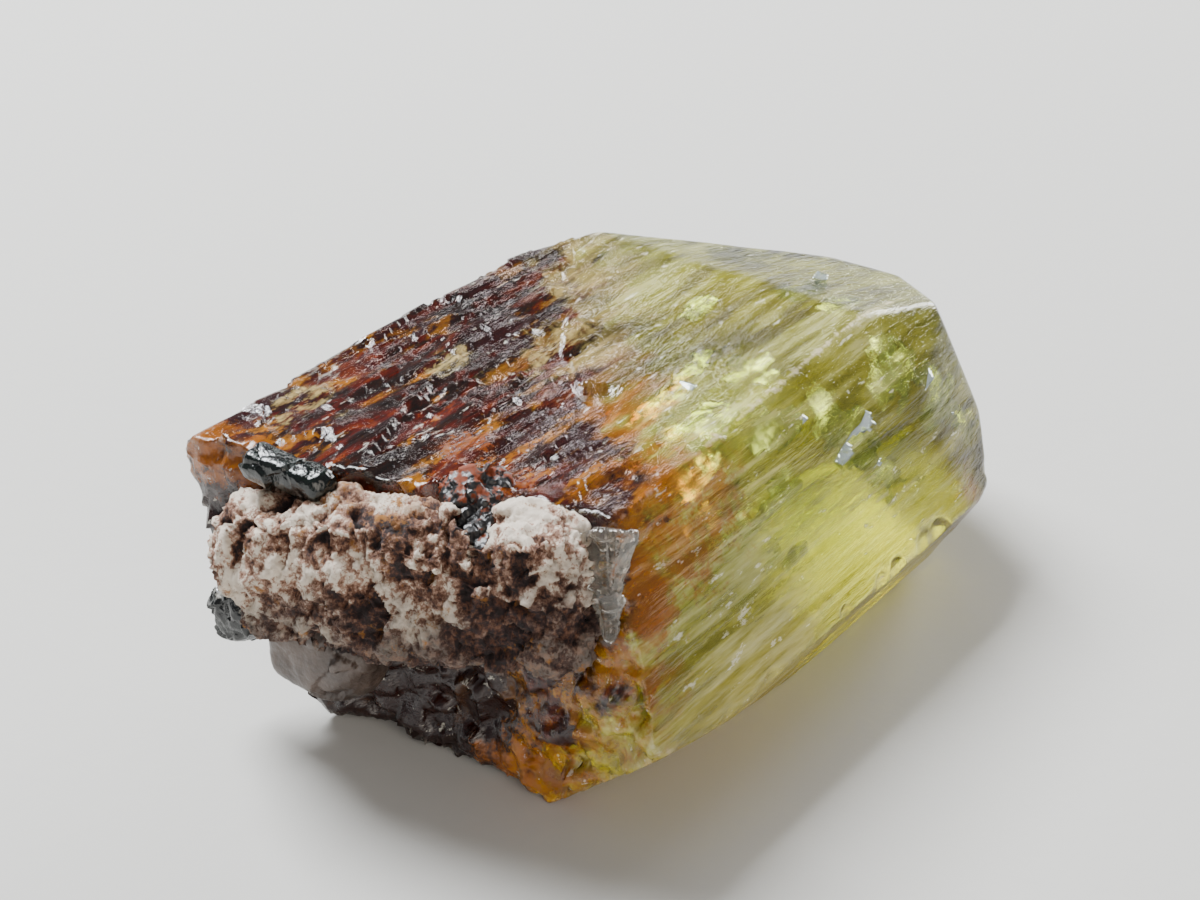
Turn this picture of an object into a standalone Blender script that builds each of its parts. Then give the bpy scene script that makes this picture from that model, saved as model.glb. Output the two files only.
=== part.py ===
"""A loose apatite crystal whose broken end still carries a crust of host rock and a few mineral grains.

The crystal is a flattened six-sided prism that lies on one of its own faces. Its long axis, which a
mineralogist calls the c axis, runs along X: the rough break is at -X and the worn pyramid at +X. The wide
side of the section is towards -Y, and Z is up from the face that it rests on.
"""

import math
import random

import bmesh
import bpy
from mathutils import Euler, Vector, noise

MM = 0.001

# Places and sizes below are in millimetres. Places are in the specimen's own frame, whose zero lies under
# the upper left corner of the break. ORIGIN is the middle of the specimen's footprint in that frame.
ORIGIN = Vector((16.03, -10.99, 0.0))
GAP = 0.3  # what separates a piece from the one it sticks to

# The section across the crystal, as widths of its prism faces
THICKNESS = 13.0
TOP_WIDTH = 17.9
FRONT_WIDTH = 9.4
BACK_WIDTH = 2.4
FACE_STEP = 60.0  # degrees from one prism face to the next
FLARE = 0.02  # how much the two front faces spread towards the pyramid

# The prism faces, counted from the top one and turning towards -Y
TOP, FRONT, UNDER_FRONT, REST, UNDER_BACK, BACK = range(6)

# The worn shoulder: for each prism face, where it starts along X and its angle from the axis, in degrees
SHOULDERS = {
    TOP: (25.0, 77.5),
    FRONT: (25.0, 80.0),
    UNDER_FRONT: (26.5, 76.0),
    REST: (25.0, 73.0),
    UNDER_BACK: (25.0, 73.0),
    BACK: (21.5, 72.0),
}

# The pyramid beyond it, whose faces stand 40.3 degrees from the axis on every apatite, each through a point
PYRAMID_ANGLE = 40.3
PYRAMID = {
    TOP: (32.6, 0.0, 12.0),
    FRONT: (30.7, -19.3, 9.0),
    UNDER_FRONT: (28.5, -22.3, 5.0),
    REST: (28.5, 0.0, 0.0),
    UNDER_BACK: (28.5, -4.5, 0.0),
    BACK: (29.2, -5.5, 12.0),
}
TIP_X = 34.6  # where the apex is worn flat

# The bevel that widens along the ridge between the top and the front face
BEVEL_START = (6.0, -18.0, 13.0)
BEVEL_TILT = 42.0
BEVEL_TAPER = 0.04

# The chip that took the lower front corner of the broken end
CORNER_CHIP_POINT = (3.2, -22.4, 5.0)
CORNER_CHIP_NORMAL = (-0.18, -0.66, -0.73)

# The break: how far it is set back at the ridge and at the foot, and its hollow below the crust
RIDGE_SETBACK = 5.4
FOOT_SETBACK = 1.8
BACK_CORNER_SETBACK = 0.25
HOLLOW_DEPTH = 1.1
HOLLOW_CENTRE = (-12.5, 4.2)  # in Y and Z
HOLLOW_RADIUS = 4.6
BREAK_ROUGHNESS = 0.55
BREAK_LUMP = 3.4  # size of the larger bumps on the break
BREAK_GRAIN = 1.3  # size of the smaller ones
BREAK_SPACING = 0.85  # spacing of the points that carry the break's relief
BREAK_MARGIN = 4.0  # how far the break's cutter reaches past the section

# Striations: shallow flutes along the axis, as the number of them on each prism face
FLUTES = {TOP: 13, FRONT: 8, UNDER_FRONT: 4, UNDER_BACK: 5, BACK: 2}
FLUTE_HALF_LENGTH = (2.5, 8.5)
FLUTE_HALF_WIDTH = (0.25, 0.7)
FLUTE_DEPTH = (0.09, 0.24)
FLUTE_RANGE = (6.0, 23.0)  # where along the axis their middles lie

# Growth steps: thin slabs taken off a face, as (face, from X, to X, from and to across the face as shares of
# its width, depth, slope in degrees). Each fades out on the face and runs off the crystal at its deep end.
STEPS = (
    (TOP, -4.0, 16.0, 0.06, 0.13, 0.16, -0.5),
    (TOP, 10.0, 33.0, 0.47, 0.62, 0.16, 0.4),
    (TOP, -4.0, 14.0, 0.26, 0.35, 0.14, -0.45),
    (FRONT, 10.0, 34.0, 0.62, 0.80, 0.10, 0.25),
    (FRONT, -2.0, 18.0, 0.30, 0.45, 0.10, -0.3),
    (UNDER_BACK, 6.0, 33.0, 0.40, 0.70, 0.14, 0.3),
)
STEP_SLAB = 2.0  # thickness of the slab that cuts a step

# Chips along the edges, as (place, radius, how flat)
CHIPS = (
    ((10.2, -18.3, 13.1), 0.80, 0.6),
    ((19.8, -18.0, 13.0), 0.70, 0.5),
    ((11.5, -22.95, 4.9), 0.75, 0.6),
    ((20.5, -23.1, 4.9), 0.90, 0.5),
    ((15.4, 0.3, 13.1), 0.90, 0.5),
    ((21.6, -0.3, 12.9), 0.90, 0.6),
    ((25.2, -8.7, 13.2), 1.00, 0.4),
    ((29.0, -22.5, 5.0), 1.00, 0.6),
    ((28.7, -13.4, 0.2), 1.20, 0.5),
    ((26.4, -4.0, 0.5), 1.10, 0.6),
    ((12.4, -4.3, 0.2), 0.80, 0.6),
)

# The rounded pieces on the break: middle, half sizes, turn in degrees, cuts along each edge of the block that
# they start as, how round that block becomes, height of the relief, size of its lumps and its seed
LUMPS = {
    "matrix_crust": ((1.6, -10.3, 9.2), (3.0, 8.9, 3.2), (-9.0, 4.0, 13.0), 13, 0.60, 0.60, 2.6, 4.0),
    "grey_lump": ((0.2, -7.0, 5.1), (1.9, 2.5, 2.0), (0.0, 12.0, 8.0), 6, 0.85, 0.35, 2.4, 1.0),
    "dark_grain": ((-0.1, -2.5, 5.3), (1.5, 1.35, 1.35), (20.0, 0.0, 15.0), 5, 0.85, 0.25, 1.5, 7.0),
    "dark_sliver": ((0.15, -5.3, 12.6), (0.62, 2.0, 0.55), (4.0, 0.0, 5.0), 4, 0.45, 0.12, 1.4, 9.0),
}

# The pointed ones: top, tip, radius at the top, sides, flatness, height of the relief and its seed
SPIKES = {
    "ore_wedge": ((3.7, -11.8, 12.85), (0.9, -14.5, 12.1), 1.5, 5, 0.45, 0.12, 2.0),
    "clear_chip": ((4.1, -17.9, 12.5), (2.4, -19.4, 9.2), 1.3, 4, 0.70, 0.08, 6.0),
}
SPIKE_POINT = 0.18  # radius left at the thin end

# Colours as linear red, green, blue, then roughness and transmission
FINISHES = {
    "yellow_green_apatite": ((0.40, 0.38, 0.08), 0.12, 0.9),
    "pale_host_rock": ((0.62, 0.52, 0.46), 0.85, 0.0),
    "grey_brown_mineral": ((0.22, 0.17, 0.14), 0.5, 0.0),
    "coated_black_mineral": ((0.07, 0.07, 0.065), 0.35, 0.0),
    "green_black_mineral": ((0.02, 0.03, 0.024), 0.25, 0.0),
    "iron_ore": ((0.06, 0.045, 0.042), 0.45, 0.0),
    "clear_splinter": ((0.6, 0.56, 0.48), 0.1, 0.9),
}


def clear_scene():
    """Removes whatever the file opened with."""
    for obj in list(bpy.data.objects):
        bpy.data.objects.remove(obj, do_unlink=True)


def new_collection(name):
    collection = bpy.data.collections.new(name)
    bpy.context.scene.collection.children.link(collection)
    return collection


def material(name):
    """A plain Principled material with the piece's colour, roughness and clearness."""
    colour, roughness, clearness = FINISHES[name]
    made = bpy.data.materials.new(name)
    made.use_nodes = True
    shader = made.node_tree.nodes["Principled BSDF"]
    shader.inputs["Base Color"].default_value = (*colour, 1.0)
    shader.inputs["Roughness"].default_value = roughness
    shader.inputs["Metallic"].default_value = 0.0
    shader.inputs["Transmission Weight"].default_value = clearness
    made.diffuse_color = (*colour, 1.0)
    return made


def to_object(bm, name, collection, specimen, place=(0.0, 0.0, 0.0), turn=(0.0, 0.0, 0.0)):
    """Turns a millimetre mesh into an object in metres, standing at its place in the specimen's frame."""
    bmesh.ops.recalc_face_normals(bm, faces=bm.faces[:])
    bmesh.ops.scale(bm, vec=(MM, MM, MM), verts=bm.verts[:])
    mesh = bpy.data.meshes.new(name)
    bm.to_mesh(mesh)
    bm.free()
    obj = bpy.data.objects.new(name, mesh)
    collection.objects.link(obj)
    obj.parent = specimen
    obj.location = Vector(place) * MM
    obj.rotation_euler = Euler([math.radians(angle) for angle in turn])
    return obj


def make_cutter(obj):
    obj.hide_render = True
    obj.display_type = "WIRE"
    return obj


def cut(target, cutter):
    """Takes one cutter out of a piece."""
    modifier = target.modifiers.new(f"cut_by_{cutter.name}", "BOOLEAN")
    modifier.operation = "DIFFERENCE"
    modifier.solver = "EXACT"
    modifier.object = cutter


def prism_normal(face, spread=0.0):
    """Outward normal of a prism face."""
    turn = math.radians(FACE_STEP * face)
    return Vector((-spread, -math.sin(turn), math.cos(turn))).normalized()


def end_normal(face, from_axis):
    """Outward normal of the end face above a prism face, at so many degrees from the axis."""
    side = prism_normal(face)
    tilt = math.radians(from_axis)
    return Vector((math.cos(tilt), side.y * math.sin(tilt), side.z * math.sin(tilt)))


def across(face):
    """The direction across a prism face, from the edge it starts at to the edge it ends at."""
    normal = prism_normal(face)
    return Vector((0.0, -normal.z, normal.y))


def section():
    """The width of each prism face and the corner it starts at, going round from the top left edge."""
    slant = THICKNESS / math.sin(math.radians(FACE_STEP))
    under_back = slant - BACK_WIDTH
    rest = TOP_WIDTH + FRONT_WIDTH - under_back
    widths = (TOP_WIDTH, FRONT_WIDTH, slant - FRONT_WIDTH, rest, under_back, BACK_WIDTH)
    corners = [Vector((0.0, 0.0, THICKNESS))]
    for face in range(BACK):
        corners.append(corners[face] + across(face) * widths[face])
    return widths, corners


def on_face(face, x, share):
    """A point on a prism face: so far along the crystal, and a share of the way across the face."""
    widths, corners = section()
    flare = FLARE * x if face in (FRONT, UNDER_FRONT) else 0.0
    return corners[face] + across(face) * (share * widths[face]) + prism_normal(face) * flare + Vector((x, 0, 0))


def crystal_planes():
    """The crystal's flat faces, as (outward normal, point) pairs."""
    spread = {FRONT: FLARE, UNDER_FRONT: FLARE}
    planes = [(prism_normal(face, spread.get(face, 0.0)), on_face(face, 0.0, 0.0)) for face in range(6)]
    for face, (start, from_axis) in SHOULDERS.items():
        planes.append((end_normal(face, from_axis), on_face(face, start, 0.0)))
    planes += [(end_normal(face, PYRAMID_ANGLE), Vector(point)) for face, point in PYRAMID.items()]
    planes.append((Vector((1.0, 0.0, 0.0)), Vector((TIP_X, 0.0, 0.0))))
    tilt = math.radians(BEVEL_TILT)
    planes.append((Vector((BEVEL_TAPER, -math.sin(tilt), math.cos(tilt))).normalized(), Vector(BEVEL_START)))
    planes.append((Vector(CORNER_CHIP_NORMAL).normalized(), Vector(CORNER_CHIP_POINT)))
    return planes


def crystal_block(grow=0.0):
    """A block cut down to the crystal's faces, each moved outwards by grow. The broken end is still square."""
    bm = bmesh.new()
    bmesh.ops.create_cube(bm, size=1.0)
    bmesh.ops.scale(bm, vec=(60.0, 40.0, 30.0), verts=bm.verts[:])
    bmesh.ops.translate(bm, vec=(22.0, -11.0, 6.0), verts=bm.verts[:])
    for normal, point in crystal_planes():
        bmesh.ops.bisect_plane(
            bm,
            geom=bm.verts[:] + bm.edges[:] + bm.faces[:],
            dist=1e-5,
            plane_co=point + normal * grow,
            plane_no=normal,
            clear_outer=True,
        )
        rim = [edge for edge in bm.edges if edge.is_boundary]
        if rim:
            bmesh.ops.contextual_create(bm, geom=rim)
    return bm


def break_setback(y, z):
    """How far the break lies from the specimen's zero along X, at a place in the section."""
    sideways = max(0.0, -y / TOP_WIDTH)
    up = min(1.0, max(0.0, z / THICKNESS))
    slope = RIDGE_SETBACK * sideways**1.5 * up**2.5
    foot = FOOT_SETBACK * (1.0 - up) * min(1.0, 2.0 * sideways)
    corner = BACK_CORNER_SETBACK * min(2.0, max(0.0, y + 0.6))
    reach = math.hypot(y - HOLLOW_CENTRE[0], z - HOLLOW_CENTRE[1]) / HOLLOW_RADIUS
    hollow = HOLLOW_DEPTH * math.exp(-(reach**2))
    return slope + foot + corner + hollow


def break_relief(y, z):
    """The hackly relief of the break, stronger towards the foot and calm at the upper edge."""
    lumps = noise.fractal(Vector((y, z, 3.1)) / BREAK_LUMP, 0.9, 2.1, 3)
    grain = noise.fractal(Vector((y, z, 8.7)) / BREAK_GRAIN, 0.8, 2.0, 2)
    strength = 0.45 + 0.55 * min(1.0, max(0.0, 1.0 - z / THICKNESS))
    return BREAK_ROUGHNESS * strength * (lumps + 0.5 * grain)


def break_cutter(name, collection, specimen, offset):
    """Everything in front of the break: a grid that carries the relief, drawn out to a thick slab."""
    low_y, high_y = -TOP_WIDTH - FRONT_WIDTH / 2 - BREAK_MARGIN, BACK_WIDTH + BREAK_MARGIN
    low_z, high_z = -BREAK_MARGIN, THICKNESS + BREAK_MARGIN
    columns = round((high_y - low_y) / BREAK_SPACING)
    rows = round((high_z - low_z) / BREAK_SPACING)
    bm = bmesh.new()
    bmesh.ops.create_grid(bm, x_segments=columns, y_segments=rows, size=0.5)
    for vert in bm.verts:
        y = low_y + (vert.co.x + 0.5) * (high_y - low_y)
        z = low_z + (vert.co.y + 0.5) * (high_z - low_z)
        vert.co = Vector((break_setback(y, z) + break_relief(y, z) + offset, y, z))
    front = bmesh.ops.extrude_face_region(bm, geom=bm.faces[:], use_keep_orig=True)
    for item in front["geom"]:
        if isinstance(item, bmesh.types.BMVert):
            item.co.x = -14.0
    return make_cutter(to_object(bm, name, collection, specimen))


def add_flutes(crystal, collection, specimen):
    """Cuts the striations: long, shallow, spindle-shaped flutes along the axis."""
    dice = random.Random(11)
    for face, count in FLUTES.items():
        for number in range(count):
            share = (number + dice.uniform(0.2, 0.8)) / count
            middle = on_face(face, dice.uniform(*FLUTE_RANGE), share)
            half = (dice.uniform(*FLUTE_HALF_LENGTH), dice.uniform(*FLUTE_HALF_WIDTH), dice.uniform(*FLUTE_DEPTH))
            bm = bmesh.new()
            bmesh.ops.create_icosphere(bm, subdivisions=2, radius=1.0)
            bmesh.ops.scale(bm, vec=half, verts=bm.verts[:])
            turn = (FACE_STEP * face, 0.0, dice.uniform(-0.8, 0.8))
            name = f"flute_{face}_{number}"
            cut(crystal, make_cutter(to_object(bm, name, collection, specimen, middle, turn)))


def add_steps(crystal, collection, specimen):
    """Cuts the growth steps: slabs tilted a little, so that each step fades out along its length."""
    widths, _ = section()
    for number, (face, start_x, end_x, start_share, end_share, depth, slope) in enumerate(STEPS):
        middle = on_face(face, (start_x + end_x) / 2, (start_share + end_share) / 2)
        size = (end_x - start_x, (end_share - start_share) * widths[face], STEP_SLAB)
        bm = bmesh.new()
        bmesh.ops.create_cube(bm, size=1.0)
        bmesh.ops.scale(bm, vec=size, verts=bm.verts[:])
        bmesh.ops.translate(bm, vec=(0.0, 0.0, STEP_SLAB / 2 - depth / 2), verts=bm.verts[:])
        turn = (FACE_STEP * face, slope, 0.9 * slope)
        cut(crystal, make_cutter(to_object(bm, f"step_{number}", collection, specimen, middle, turn)))


def add_chips(crystal, collection, specimen):
    """Knocks small shell-shaped chips off the edges."""
    dice = random.Random(5)
    for number, (place, radius, flat) in enumerate(CHIPS):
        bm = bmesh.new()
        bmesh.ops.create_icosphere(bm, subdivisions=2, radius=radius)
        bmesh.ops.scale(bm, vec=(1.5, 1.0, flat), verts=bm.verts[:])
        for vert in bm.verts:
            vert.co *= 1.0 + 0.25 * noise.noise(vert.co * 1.7 + Vector(place))
        turn = [dice.uniform(-35.0, 35.0) for _ in range(3)]
        cut(crystal, make_cutter(to_object(bm, f"chip_{number}", collection, specimen, place, turn)))


def chunk(half, cuts, roundness, relief, lump, seed):
    """A rough lump: a divided block, rounded towards an ellipsoid and roughened by fractal noise."""
    bm = bmesh.new()
    bmesh.ops.create_cube(bm, size=2.0)
    bmesh.ops.subdivide_edges(bm, edges=bm.edges[:], cuts=cuts, use_grid_fill=True)
    for vert in bm.verts:
        shape = vert.co.lerp(vert.co.normalized(), roundness)
        vert.co = Vector((shape.x * half[0], shape.y * half[1], shape.z * half[2]))
    bm.normal_update()
    shift = Vector((seed, 2.0 * seed, -seed))
    moves = [relief * noise.fractal(vert.co / lump + shift, 0.9, 2.1, 3) for vert in bm.verts]
    directions = [vert.normal.copy() for vert in bm.verts]
    for vert, move, direction in zip(bm.verts, moves, directions):
        vert.co += direction * move
    return bm


def spike(top, tip, radius, sides, flat, relief, seed):
    """A faceted splinter that narrows from its top to its tip, lying along Z of its own frame."""
    length = (Vector(tip) - Vector(top)).length
    bm = bmesh.new()
    bmesh.ops.create_cone(
        bm, cap_ends=True, cap_tris=False, segments=sides, radius1=SPIKE_POINT, radius2=radius, depth=length
    )
    bmesh.ops.subdivide_edges(bm, edges=bm.edges[:], cuts=2, use_grid_fill=True)
    bmesh.ops.triangulate(bm, faces=bm.faces[:])
    bm.normal_update()
    directions = [vert.normal.copy() for vert in bm.verts]
    for vert, direction in zip(bm.verts, directions):
        vert.co += direction * (relief * noise.noise(vert.co * 1.3 + Vector((seed, 0.0, 0.0))))
        vert.co.y *= flat
    return bm


def spike_turn(top, tip):
    """The turn, in degrees, that lays a splinter along the line from its tip to its top."""
    line = (Vector(top) - Vector(tip)).normalized()
    return [math.degrees(angle) for angle in line.to_track_quat("Z", "Y").to_euler()]


def grown_cutter(piece, collection, specimen):
    """A wire copy of a piece that is a gap larger all round, to cut its seat in a neighbour."""
    bm = bmesh.new()
    bm.from_mesh(piece.data)
    bm.normal_update()
    directions = [vert.normal.copy() for vert in bm.verts]
    for vert, direction in zip(bm.verts, directions):
        vert.co += direction * (GAP * MM)
    mesh = bpy.data.meshes.new(f"{piece.name}_seat")
    bm.to_mesh(mesh)
    bm.free()
    seat = bpy.data.objects.new(f"{piece.name}_seat", mesh)
    collection.objects.link(seat)
    seat.parent = specimen
    seat.location = piece.location
    seat.rotation_euler = piece.rotation_euler
    return make_cutter(seat)


def build_crystal(parts, cutters, specimen):
    crystal = to_object(crystal_block(), "apatite_crystal", parts, specimen)
    add_steps(crystal, cutters, specimen)
    add_flutes(crystal, cutters, specimen)
    add_chips(crystal, cutters, specimen)
    cut(crystal, break_cutter("break_face", cutters, specimen, 0.0))
    return crystal


def build_grown_crystal(cutters, specimen):
    """The crystal a gap larger all round, which cuts the backs of the pieces that stick to it."""
    grown = to_object(crystal_block(GAP), "crystal_seat", cutters, specimen)
    cut(grown, break_cutter("break_face_seat", cutters, specimen, -GAP))
    return make_cutter(grown)


def build_pieces(parts, specimen):
    """The crust and the grains, still whole: their seats are cut afterwards."""
    pieces = {}
    for name, (place, half, turn, *shape) in LUMPS.items():
        pieces[name] = to_object(chunk(half, *shape), name, parts, specimen, place, turn)
    for name, (top, tip, *shape) in SPIKES.items():
        middle = (Vector(top) + Vector(tip)) / 2
        pieces[name] = to_object(spike(top, tip, *shape), name, parts, specimen, middle, spike_turn(top, tip))
    return pieces


def main():
    clear_scene()
    parts = new_collection("apatite_crystal_specimen")
    cutters = new_collection("cutters")
    specimen = bpy.data.objects.new("specimen", None)
    parts.objects.link(specimen)
    specimen.location = -ORIGIN * MM

    crystal = build_crystal(parts, cutters, specimen)
    grown = build_grown_crystal(cutters, specimen)
    pieces = build_pieces(parts, specimen)
    seats = {name: grown_cutter(piece, cutters, specimen) for name, piece in pieces.items() if name != "matrix_crust"}

    # The sliver and the wedge are let into the crystal, and the other pieces are cut to fit against it.
    for name in ("dark_sliver", "ore_wedge"):
        cut(crystal, seats[name])
    for name in ("matrix_crust", "grey_lump", "dark_grain", "clear_chip"):
        cut(pieces[name], grown)
    for seat in seats.values():
        cut(pieces["matrix_crust"], seat)
    cut(pieces["grey_lump"], seats["dark_grain"])

    finishes = {
        "apatite_crystal": "yellow_green_apatite",
        "matrix_crust": "pale_host_rock",
        "grey_lump": "grey_brown_mineral",
        "dark_grain": "coated_black_mineral",
        "dark_sliver": "green_black_mineral",
        "ore_wedge": "iron_ore",
        "clear_chip": "clear_splinter",
    }
    for obj in (crystal, *pieces.values()):
        obj.data.materials.append(material(finishes[obj.name]))


main()
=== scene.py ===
"""The looks of a loose apatite crystal that still carries host rock on its broken end.

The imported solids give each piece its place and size. Here the crystal gets worn edges, growth striations, a
hackly break and the clouded, iron-stained depth of the real one, and the host rock and its grains get their
grain. Places are in millimetres in the specimen's own frame, whose zero lies under the upper left corner of
the break: X runs along the crystal to its pyramid, Y across it and Z up from the face that it rests on.
"""

import logging
import math
from dataclasses import dataclass
from enum import IntEnum
from typing import Any

import bpy
import numpy as np
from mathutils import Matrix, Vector


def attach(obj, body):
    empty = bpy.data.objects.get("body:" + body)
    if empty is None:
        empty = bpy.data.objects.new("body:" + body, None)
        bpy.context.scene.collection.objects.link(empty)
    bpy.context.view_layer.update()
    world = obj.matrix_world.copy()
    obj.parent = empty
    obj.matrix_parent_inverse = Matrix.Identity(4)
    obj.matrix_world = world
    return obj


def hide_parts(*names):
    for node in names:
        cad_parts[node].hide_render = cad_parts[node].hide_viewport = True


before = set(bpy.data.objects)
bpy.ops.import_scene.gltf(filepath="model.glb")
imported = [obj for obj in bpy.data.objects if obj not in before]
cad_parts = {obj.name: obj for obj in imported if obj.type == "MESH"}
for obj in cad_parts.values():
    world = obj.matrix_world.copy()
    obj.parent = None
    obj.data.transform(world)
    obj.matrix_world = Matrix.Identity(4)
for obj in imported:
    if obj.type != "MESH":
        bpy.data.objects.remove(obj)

Array = np.ndarray
Material = bpy.types.Material
Node = bpy.types.Node
Object = bpy.types.Object
Triple = tuple[float, float, float]
Spots = tuple[tuple[float, float, float, float], ...]  # the middle of each spot and its radius, in millimetres

LOG = logging.getLogger("apatite")
MM = 0.001
ORIGIN = np.array((16.03, -10.99, 0.0))  # the part frame's origin, in the specimen's frame
ROOT_BODY = "root"
CRYSTAL_NODE = "apatite_crystal"
TABLE = 4096  # how many random numbers a noise draws from
FAR = 9.0  # a distance beyond any that counts
NEAR = 0.8  # how near a face a point must lie to feel its relief
THICKNESS = 13.0  # of the crystal
FRONT_AT = 26.5  # where the stain ends along X, at the back edge of the top face
FRONT_SLANT = 1.07  # how far that shifts for each millimetre of Y
FRONT_FALL = 0.55  # how far it falls back for each millimetre below the top face
ORDER = {  # the order in which Paint.add takes a node's inputs, where it isn't the node's own
    "Bump": ("Height", "Strength", "Distance"),
    "MapRange": ("Value", "From Min", "From Max", "To Min", "To Max"),
    "Mix": ("Factor", "A", "B"),
    "TexNoise": ("Vector", "Scale", "Detail", "Roughness", "Distortion"),
}
MODES = {"MapRange": "interpolation_type", "Math": "operation", "Mix": "data_type", "VectorMath": "operation"}


class Face(IntEnum):
    """The prism faces, counted from the top one and turning towards -Y."""

    TOP = 0
    FRONT = 1
    UNDER_FRONT = 2
    REST = 3
    UNDER_BACK = 4
    BACK = 5


def linear(hex_colour: str) -> tuple[float, float, float, float]:
    """Turns an sRGB hex colour to linear red, green, blue and alpha.

    Args:
        hex_colour: the colour as "#rrggbb".

    Returns:
        The linear colour with an alpha of 1.
    """
    parts = [int(hex_colour[i : i + 2], 16) / 255 for i in (1, 3, 5)]
    return (*[p / 12.92 if p <= 0.04045 else ((p + 0.055) / 1.055) ** 2.4 for p in parts], 1.0)


def to_specimen(points: Array) -> Array:
    """Turns metres in the part frame to millimetres in the specimen's frame."""
    return points / MM + ORIGIN


def to_part(points: Array) -> Array:
    """Turns millimetres in the specimen's frame to metres in the part frame."""
    return (points - ORIGIN) * MM


class Grain:
    """Repeatable noise over points in space, from a fixed table of random numbers."""

    def __init__(self, seed: int) -> None:
        """Fills the table.

        Args:
            seed: what makes this noise differ from another.
        """
        dice = np.random.RandomState(seed)
        self.order = dice.permutation(TABLE)
        self.values = dice.uniform(-1.0, 1.0, TABLE)
        self.shifts = dice.uniform(-1.0, 1.0, (TABLE, 3))

    def _cell(self, cells: Array) -> Array:
        """Looks up the table entry of each whole-numbered cell."""
        index = self.order[cells[:, 0] & (TABLE - 1)]
        index = self.order[(index + cells[:, 1]) & (TABLE - 1)]
        return self.order[(index + cells[:, 2]) & (TABLE - 1)]

    def smooth(self, points: Array) -> Array:
        """Smooth value noise from -1 to 1, with lumps one unit across."""
        base = np.floor(points).astype(np.int64)
        part = points - base
        part = part * part * part * (part * (part * 6.0 - 15.0) + 10.0)
        total = np.zeros(len(points))
        for corner in range(8):
            step = np.array([(corner >> axis) & 1 for axis in range(3)])
            weight = np.prod(np.where(step == 1, part, 1.0 - part), axis=1)
            total += weight * self.values[self._cell(base + step)]
        return total

    def fractal(self, points: Array, octaves: int, gain: float = 0.5, ridged: bool = False) -> Array:
        """Sums octaves of the noise, each twice as fine as the last.

        Args:
            points: where to read it, in lumps.
            octaves: how many to sum.
            gain: strength of each octave next to the one before it.
            ridged: True for sharp ridges between rounded hollows.

        Returns:
            The noise, from about -1 to 1.
        """
        total, strength, weight = np.zeros(len(points)), 1.0, 0.0
        for octave in range(octaves):
            layer = self.smooth(points * 2.03**octave + 17.3 * octave)
            total += strength * (1.0 - 3.0 * np.abs(layer) if ridged else 1.6 * layer)
            weight += strength
            strength *= gain
        return total / weight

    def grains(self, points: Array) -> tuple[Array, Array]:
        """Packs grains one unit apart, each with a random number and a random slope.

        Args:
            points: where to read them, in grains.

        Returns:
            The nearest grain's number from -1 to 1, and the height of its own slanting facet.
        """
        base = np.floor(points).astype(np.int64)
        nearest, number, facet = np.full(len(points), FAR), np.zeros(len(points)), np.zeros(len(points))
        for step in np.ndindex(3, 3, 3):
            cell = base + np.array(step) - 1
            entry = self._cell(cell)
            middle = cell + 0.5 + 0.45 * self.shifts[entry]
            distance = np.linalg.norm(points - middle, axis=1)
            closer = distance < nearest
            nearest[closer] = distance[closer]
            number[closer] = self.values[entry[closer]]
            slope = self.shifts[self.order[entry[closer]]]
            facet[closer] = ((points[closer] - middle[closer]) * slope).sum(axis=1)
        return number, facet


def deselect_all() -> None:
    """Leaves nothing selected, so that an operator acts only on what is then chosen."""
    for obj in bpy.context.selected_objects:
        obj.select_set(False)


def choose(obj: Object) -> None:
    """Makes one object the only one selected, and the active one."""
    deselect_all()
    obj.select_set(True)
    bpy.context.view_layer.objects.active = obj


def copy_of_node(node: str, name: str) -> Object:
    """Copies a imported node's mesh into a new object, with its loose triangles joined.

    Args:
        node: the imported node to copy.
        name: the new object's name.

    Returns:
        The new object, at the origin.
    """
    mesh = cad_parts[node].data.copy()
    mesh.name = name
    mesh.materials.clear()
    piece = bpy.data.objects.new(name, mesh)
    bpy.context.scene.collection.objects.link(piece)
    choose(piece)
    bpy.ops.object.mode_set(mode="EDIT")
    bpy.ops.mesh.select_all(action="SELECT")
    bpy.ops.mesh.remove_doubles(threshold=1e-6)
    bpy.ops.object.mode_set(mode="OBJECT")
    return piece


def remesh(piece: Object, voxel: float) -> None:
    """Turns a piece into an even net of small quads.

    Args:
        piece: the piece to remesh.
        voxel: size of the quads, in millimetres.
    """
    choose(piece)
    piece.data.remesh_voxel_size = voxel * MM
    piece.data.remesh_voxel_adaptivity = 0.0
    bpy.ops.object.voxel_remesh()


def points_of(piece: Object) -> Array:
    """Reads a piece's points, in the specimen's frame."""
    flat = np.empty(3 * len(piece.data.vertices), np.float32)
    piece.data.vertices.foreach_get("co", flat)
    return to_specimen(flat.reshape(-1, 3).astype(float))


def move_points(piece: Object, points: Array) -> None:
    """Puts a piece's points at new places, given in the specimen's frame."""
    piece.data.vertices.foreach_set("co", to_part(points).astype(np.float32).ravel())
    piece.data.update()


def normals_of(piece: Object) -> Array:
    """Reads the outward normal at each point of a piece."""
    flat = np.empty(3 * len(piece.data.vertices), np.float32)
    piece.data.vertex_normals.foreach_get("vector", flat)
    return flat.reshape(-1, 3).astype(float)


def keep_value(piece: Object, name: str, values: Array) -> None:
    """Stores one number a point on a piece, for its material to read."""
    attribute = piece.data.attributes.new(name, "FLOAT", "POINT")
    attribute.data.foreach_set("value", values.astype(np.float32))


def edges_of(piece: Object) -> Array:
    """Reads the two ends of each edge of a piece."""
    flat = np.empty(2 * len(piece.data.edges), np.int32)
    piece.data.edges.foreach_get("vertices", flat)
    return flat.reshape(-1, 2)


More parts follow.
